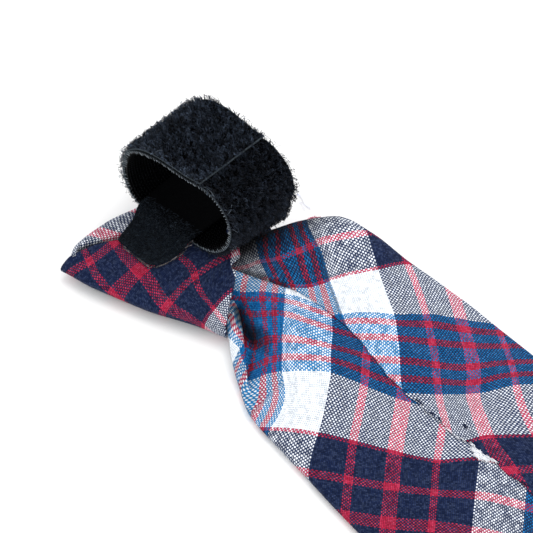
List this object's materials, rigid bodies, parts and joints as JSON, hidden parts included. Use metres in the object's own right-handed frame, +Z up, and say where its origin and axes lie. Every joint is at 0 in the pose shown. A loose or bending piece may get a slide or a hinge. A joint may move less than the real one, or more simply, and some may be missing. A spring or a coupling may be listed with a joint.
{
  "type": "dog necktie",
  "caption": "Tartan cloth necktie for a dog, lying face down, with a wrapped knot, a pointed blade and a hook-and-loop strap loop on the knot's back for a collar.",
  "frame": {"origin": "on the table, under the middle of the tie's bounding box", "axes": "+X along the blade from the knot to the point, +Z up out of the tie's back"},
  "size_m": [0.2078, 0.0688, 0.0332],
  "materials": {
    "blade_cloth": "plain-woven tartan cotton in white, navy, blue and red",
    "knot_cloth": "plain-woven tartan cotton, navy with red lines",
    "roll_cloth": "plain-woven tartan cotton, white crossed with navy and a pink stripe",
    "hook_and_loop": "black loop pile outside, black hooks inside",
    "felt": "black brushed felt"
  },
  "bodies": {
    "root": {"blade": "blade_cloth", "knot_wrap": "knot_cloth", "knot_roll": "roll_cloth", "strap": "hook_and_loop", "strap_tab": "felt"}
  },
  "joints": []
}
